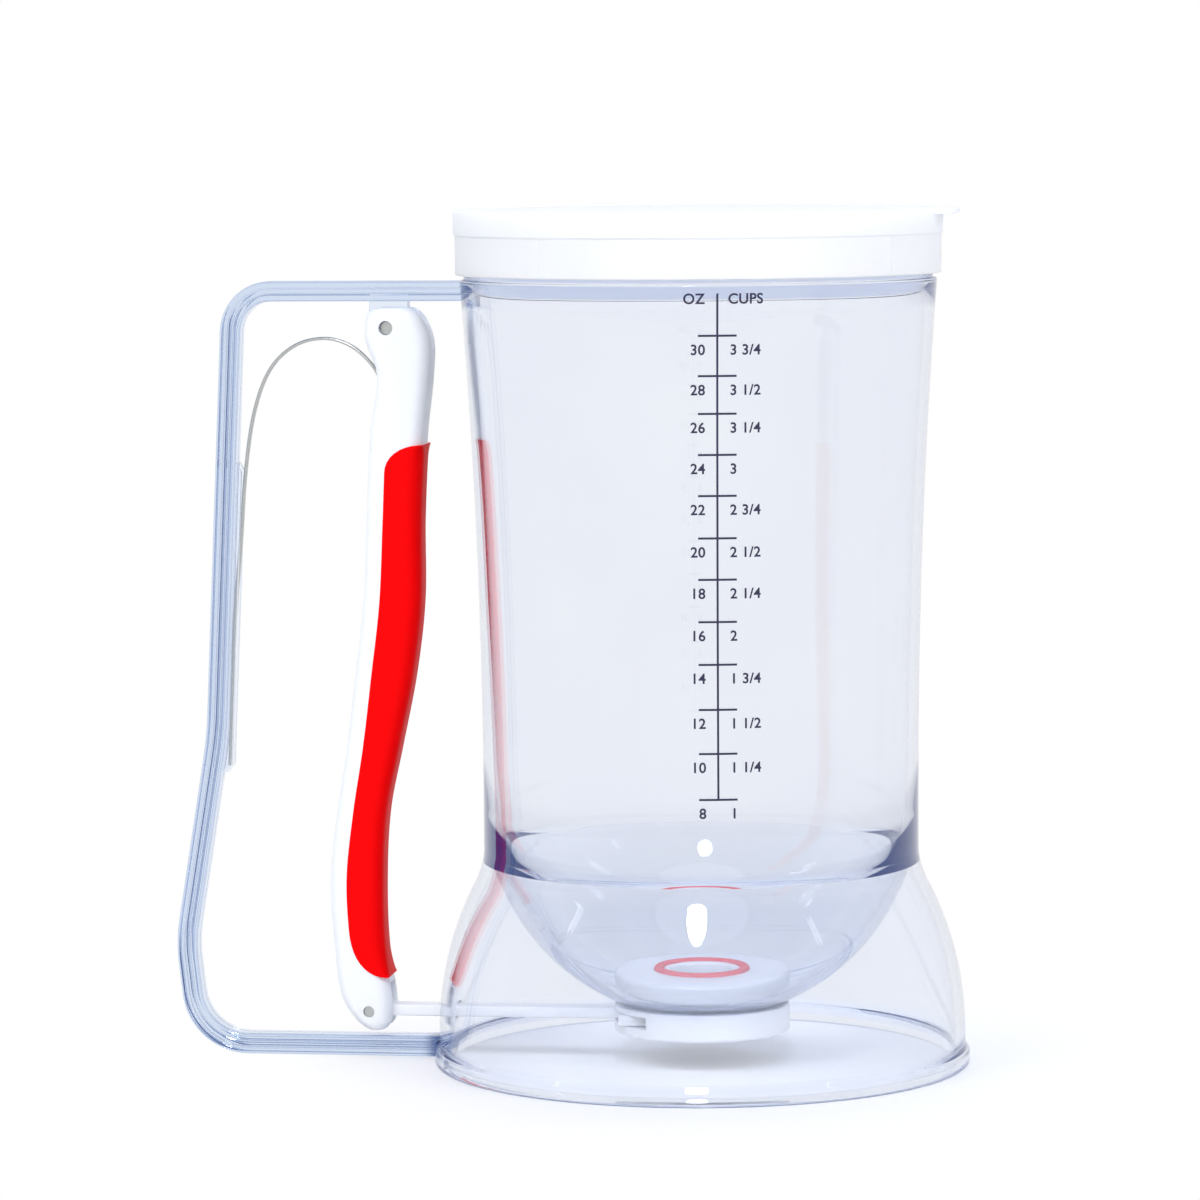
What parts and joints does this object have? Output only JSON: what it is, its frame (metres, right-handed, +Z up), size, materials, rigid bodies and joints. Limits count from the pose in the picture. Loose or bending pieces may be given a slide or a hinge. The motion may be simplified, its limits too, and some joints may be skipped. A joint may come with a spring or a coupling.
{
  "type": "batter dispenser",
  "caption": "Clear jug with a funnel bottom, lift-off cap and hoop handle; squeezing the curved lever slides a gate valve open under the jug.",
  "frame": {"origin": "on the surface it stands on, under the middle of the whole object's outline", "axes": "+Z up, the handle points to -X, the measuring scale faces -Y"},
  "size_m": [0.1734, 0.116, 0.1845],
  "materials": {
    "clear_plastic": "clear polished plastic",
    "lid_plastic": "slightly translucent satin",
    "white_plastic": "satin",
    "red_rubber": "smooth soft",
    "white_rubber": "soft",
    "steel": "brushed"
  },
  "bodies": {
    "jug": {"jug_barrel": "clear_plastic", "funnel": "clear_plastic", "base_skirt": "clear_plastic", "handle_frame": "clear_plastic", "pivot_pin": "steel", "return_spring": "steel", "valve_seat": "white_plastic", "seat_seal": "red_rubber", "valve_housing": "white_plastic", "bowl_gasket": "white_rubber"},
    "lever": {"lever": "white_plastic", "lever_grip": "red_rubber", "link_pin": "steel"},
    "gate": {"gate_slide": "white_plastic"},
    "lid": {"lid": "lid_plastic"}
  },
  "joints": [
    {"name": "lever_squeeze", "type": "hinge", "parent": "jug", "child": "lever", "pos_m": [-0.03851, 0, 0.1593], "axis": [0, 1, 0], "range_deg": [0, 5.8], "stiffness_Nm_per_rad": 4, "springref_deg": -5.73, "deforming": ["return_spring"]},
    {"name": "gate_pull", "type": "slide", "parent": "jug", "child": "gate", "axis": [-1, 0, 0], "range_m": [0, 0.0152]},
    {"name": "lid_lift", "type": "slide", "parent": "jug", "child": "lid", "axis": [0, 0, 1], "range_m": [0, 0.04]}
  ],
  "couplings": [
    {"joint": "gate_pull", "follows": "lever_squeeze", "m_per_rad": 0.14885}
  ]
}
